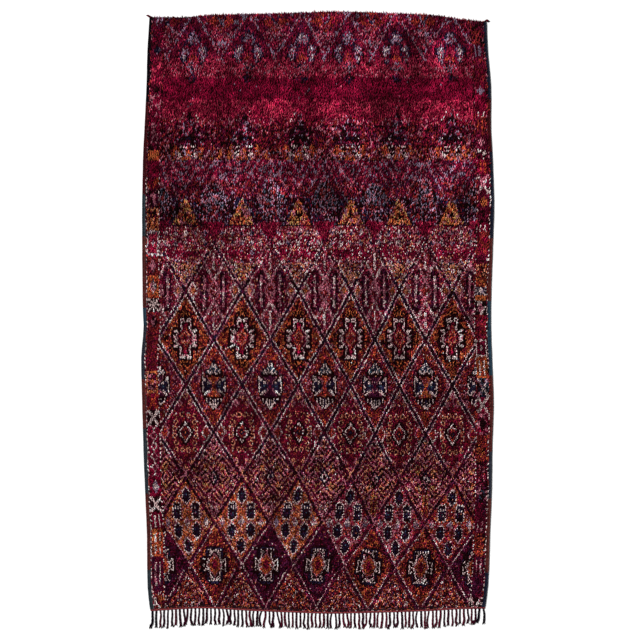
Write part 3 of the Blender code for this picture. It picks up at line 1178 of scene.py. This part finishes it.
fringe = {
    "strands": 86,
    "radius": 0.0053,
    "flatness": 0.56,
    "twists": 5.5,
    "steps": 18,
    "around": 8,
    "waver": 0.0052,
    "cornerThick": 1.2,  # the two outermost strands at each side are thicker
    "hairs": 16,
    "hairLength": 0.029,
    "hairRadius": 0.0016,
    "hairSpread": 0.34,
    "hairInset": 0.017,  # the hairs start inside the strand's end
    "webRows": 3,
    "webWide": 0.010,
    "webHigh": 0.0020,
    "webLift": 0.0021,
    "webOverlap": 0.0012,  # the web reaches under the pile
    "webFront": 0.0103,  # the strands leave it here
    "webStrength": 1.35,
    "strength": 0.50,
    "seed": 19,
}
fringeWools = {"dark": (56, 22, 36), "wine": (88, 28, 44), "black": (28, 21, 29)}
webWools = ((92, 34, 38), (132, 66, 68), (70, 24, 32))


def strandPaths():
    # the middle of each strand, read from the solid's own sections
    points = solidPoints("end_web_fringe")
    low, high = points.min(0), points.max(0)
    pitch = (high[0] - low[0]) / fringe["strands"]
    paths = []
    for strand in range(fringe["strands"]):
        middle = low[0] + (strand + 0.5) * pitch
        mine = points[np.abs(points[:, 0] - middle) < 0.49 * pitch]
        webFront = np.interp(middle, *footLine) - fringe["webFront"]
        loose = mine[mine[:, 1] < webFront - 0.006]
        levels = sorted(np.unique(np.round(loose[:, 1], 4)), reverse=True)
        path = [(middle, webFront + 0.003)]
        for level in levels:
            section = loose[np.abs(loose[:, 1] - level) < 0.0004, 0]
            if level < path[-1][1] - 0.004:
                path.append((0.5 * (section.min() + section.max()), level))
        paths.append(path)
    return paths


def smoothPath(path, part):  # Catmull-Rom through the section middles
    spot = part * (len(path) - 1)
    index = min(int(spot), len(path) - 2)
    t = spot - index
    before = path[max(index - 1, 0)]
    start, end = path[index], path[index + 1]
    after = path[min(index + 2, len(path) - 1)]
    return tuple(
        0.5 * (
            2 * s + (e - b) * t + (2 * b - 5 * s + 4 * e - a) * t * t
            + (3 * s - b - 3 * e + a) * t ** 3
        )
        for b, s, e, a in zip(before, start, end, after)
    )


def buildFringe():
    dice = random.Random(fringe["seed"])
    meshes = []
    paths = strandPaths()
    for number, path in enumerate(paths):
        part = number / (len(paths) - 1)
        corner = number < 2 or number > len(paths) - 3
        wool = "black" if corner else ("wine" if dice.random() < 0.05 + 0.8 * part else "dark")
        value = fringe["strength"] * math.exp(dice.gauss(0, 0.18))
        base = [channel * value for channel in linearColour(*fringeWools[wool])]
        start = dice.uniform(0, 2 * math.pi)
        twists = fringe["twists"] * dice.uniform(0.8, 1.2)
        thick = fringe["radius"] * dice.uniform(0.85, 1.12) * (fringe["cornerThick"] if corner else 1.0)
        sway = dice.gauss(0, 0.75) * fringe["waver"] + 0.5 * fringe["waver"] * math.sin(0.42 * number)

        def place(along, turn):
            x, y = smoothPath(path, along)
            x += sway * along * (1 + math.sin(start + 4 * along))
            lobes = 0.76 + 0.30 * abs(math.cos(turn - start - along * twists * math.pi))
            taper = 0.88 + 0.34 * along - 0.45 * max(0.0, along - 0.8) / 0.2
            radius = thick * lobes * taper
            lift = (thick + math.sin(turn) * radius) * fringe["flatness"]
            return x + math.cos(turn) * radius, y, lift

        def tint(along):
            return [channel * (0.9 + 0.25 * along) for channel in base]

        meshes.append(rollCord("strand", fringe["steps"], fringe["around"], place, tint))
        tipX, tipY = path[-1]
        tipX += sway * (1 + math.sin(start + 4))
        for hair in range(fringe["hairs"]):
            spread = dice.uniform(-1, 1)
            reach = fringe["hairLength"] * dice.uniform(0.7, 1.0)
            offset = spread * 0.45 * thick

            def hairPlace(along, turn):
                slim = fringe["hairRadius"] * (1.25 - along)
                fan = spread * fringe["hairSpread"] * reach * along * (0.4 + 0.6 * along)
                x = tipX + offset + fan + math.cos(turn) * slim
                y = tipY + fringe["hairInset"] - reach * along
                return x, y, 0.6 * thick * (1 - 0.6 * along) + math.sin(turn) * slim

            meshes.append(rollCord("hair", 2, 3, hairPlace, tint))
    piece = joinMeshes("fringe_strands", meshes)
    return dressPiece(piece, cordMaterial, "fringe_wool", "end_web_fringe")


def buildWeb():
    left, right = (corner.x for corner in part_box("end_web_fringe"))
    steps = fringe["strands"] * 5
    half = 0.5 * fringe["webWide"] / fringe["webRows"]
    meshes = []
    for number in range(fringe["webRows"]):
        base = [fringe["webStrength"] * channel for channel in linearColour(*webWools[number])]

        def place(along, turn):
            x = left + along * (right - left)
            phase = along * fringe["strands"] * 2 * math.pi + number * math.pi
            relief = 1.04 + 0.13 * math.sin(phase)
            y = float(np.interp(x, *footLine)) + fringe["webOverlap"] - (2 * number + 1) * half
            high = fringe["webHigh"] * relief
            lift = fringe["webLift"] + math.sin(turn) * high + 0.0002 * math.sin(phase)
            return x, y + math.cos(turn) * half * relief, lift

        def tint(along):
            return base

        meshes.append(rollCord("webRow", steps, 6, place, tint))
    piece = joinMeshes("foot_web", meshes)
    return dressPiece(piece, cordMaterial, "fringe_wool", "end_web_fringe")


fringePiece = buildFringe()
webPiece = buildWeb()
print("fringe tied")


# Head cord with an ear at each corner

headCord = {
    "radius": 0.0025,
    "gap": 0.0003,
    "earRadius": 0.0078,
    "flatness": 0.7,
    "stepLength": 0.0024,
    "twistPitch": 0.011,
    "wool": (30, 18, 24),
    "accent": (74, 24, 34),
    "accentShare": 0.3,
    "strength": 1.4,
    "seed": 5,
}
# ears: out, rise, thickness as a part of the ear's radius
leftEar = ((0, 0.001, 0.85), (0.006, 0.005, 0.8), (0.012, 0.009, 0.5), (0.017, 0.013, 0.2))
rightEar = ((0, 0.002, 1), (0.007, 0.002, 0.85), (0.013, 0.003, 0.5), (0.018, 0.004, 0.2))


def buildHeadCord():
    radius, gap = headCord["radius"], headCord["gap"]
    route = [(x, y + gap + radius, radius) for x, y in zip(*headLine)]
    for ear, node, inner, outward in (
        (leftEar, "selvedge_left", route[0], -1.0), (rightEar, "selvedge_right", route[-1], 1.0),
    ):
        floor = floorPoints(node)
        top = floor[np.abs(floor[:, 1] - floor[:, 1].max()) < 0.0002, 0]
        corner = top.min() if outward < 0 else top.max()
        up = inner[1] - gap - radius
        tail = []
        for out, rise, thick in ear:
            size = thick * headCord["earRadius"]
            tail.append((corner + outward * out, up + gap + size + rise, size))
        route = route + tail if outward > 0 else tail[::-1] + route
    route = np.array(route)
    length = np.concatenate([[0], np.cumsum(np.hypot(*np.diff(route[:, :2], axis=0).T))])
    steps = int(length[-1] / headCord["stepLength"])
    base = linearColour(*headCord["wool"])
    accent = linearColour(*headCord["accent"])
    dice = random.Random(headCord["seed"])
    tints = []
    for _ in range(steps + 1):
        wool = accent if dice.random() < headCord["accentShare"] else base
        tints.append([headCord["strength"] * channel * math.exp(dice.gauss(0, 0.2)) for channel in wool])

    def place(along, turn):
        at = along * length[-1]
        x, y, size = (float(np.interp(at, length, route[:, part])) for part in range(3))
        twist = at / headCord["twistPitch"] * math.pi
        lobes = 0.80 + 0.24 * abs(math.cos(turn - twist))
        lift = headCord["flatness"] * size * (1 + math.sin(turn) * lobes)
        return x, y + math.cos(turn) * size * lobes, lift

    def tint(along):
        return tints[int(along * steps + 0.5)]

    piece = joinMeshes("head_cord", [rollCord("head_cord", steps, 8, place, tint)])
    return dressPiece(piece, cordMaterial, "cord_wool", "heading_cord")


headPiece = buildHeadCord()
print("head cord laid")


# Woven ground under the pile

# the ground's dark wool is partly its own colour and partly painted shade seen deep in the gaps between
# the locks
ground = {"columns": 60, "rows": 100, "thickness": 0.0034, "inset": 0.0006, "wool": (44, 18, 24)}


def buildGround():
    bm = bmesh.new()
    bmesh.ops.create_grid(bm, x_segments=ground["columns"], y_segments=ground["rows"], size=0.5)
    layer = bm.verts.layers.float_color.new("dye")
    # dark tone, partly painted shade between the locks
    tone = linearColour(*ground["wool"])
    for corner in bm.verts:
        across, up = corner.co.x + 0.5, corner.co.y + 0.5
        x, y = clothPlace(np.array([across]), np.array([up]))
        x = float(x[0]) - math.copysign(ground["inset"], across - 0.5)
        y = float(y[0]) - math.copysign(ground["inset"], up - 0.5)
        corner.co = (x, y, ground["thickness"])
        value = 1 + 0.15 * math.sin(40 * y) * math.sin(9 * x + 2)
        corner[layer] = (*(channel * value for channel in tone), 1.0)
    top = list(bm.faces)
    bottom = bmesh.ops.extrude_face_region(bm, geom=top, use_keep_orig=True)["geom"]
    for corner in bottom:
        if isinstance(corner, bmesh.types.BMVert):
            corner.co.z = 0.0001
    bmesh.ops.recalc_face_normals(bm, faces=bm.faces)
    piece = addObject("woven_ground", meshOf(bm, "woven_ground"))
    return dressPiece(piece, groundMaterial, "pile_wool", "pile_field")


groundPiece = buildGround()
print("ground laid")


# Floor, light and camera

stage = {
    "floorSize": 30.0,
    "floorTone": 0.90,
    "worldStrength": 0.32,
    "sunStrength": 4.2,
    "sunSoftness": 14.0,  # degrees
    "sunFrom": (-0.60, 0.36, 0.72),
}
camera = {"height": 9.527, "lens": 100.0, "x": 0.0118, "y": -0.0006}


def buildStage():
    bm = bmesh.new()
    bmesh.ops.create_grid(bm, x_segments=1, y_segments=1, size=stage["floorSize"] / 2)
    floor = addObject("floor", meshOf(bm, "floor"))
    material = bpy.data.materials.new("paleFloor")
    material.use_nodes = True
    setInputs(material.node_tree.nodes["Principled BSDF"], {
        "Base Color": (stage["floorTone"],) * 3 + (1.0,), "Roughness": 0.9, "Specular IOR Level": 0.1,
    })
    floor.data.materials.append(material)


def addSun():  # the only lamp
    lamp = bpy.data.lights.new("sun", "SUN")
    lamp.energy = stage["sunStrength"]
    lamp.angle = math.radians(stage["sunSoftness"])
    item = addObject("sun", lamp)
    item.rotation_euler = Vector(stage["sunFrom"]).to_track_quat("Z", "Y").to_euler()


def buildLight():
    world = bpy.data.worlds.new("studio")
    world.use_nodes = True
    setInputs(world.node_tree.nodes["Background"], {
        "Color": (1.0, 1.0, 1.0, 1.0), "Strength": stage["worldStrength"],
    })
    bpy.context.scene.world = world
    addSun()


def addCamera():
    lens = bpy.data.cameras.new("camera")
    lens.lens = camera["lens"]
    item = addObject("camera", lens)
    item.location = (camera["x"], camera["y"], camera["height"])
    bpy.context.scene.camera = item


buildStage()
buildLight()
addCamera()
bpy.context.scene.view_settings.view_transform = "Standard"
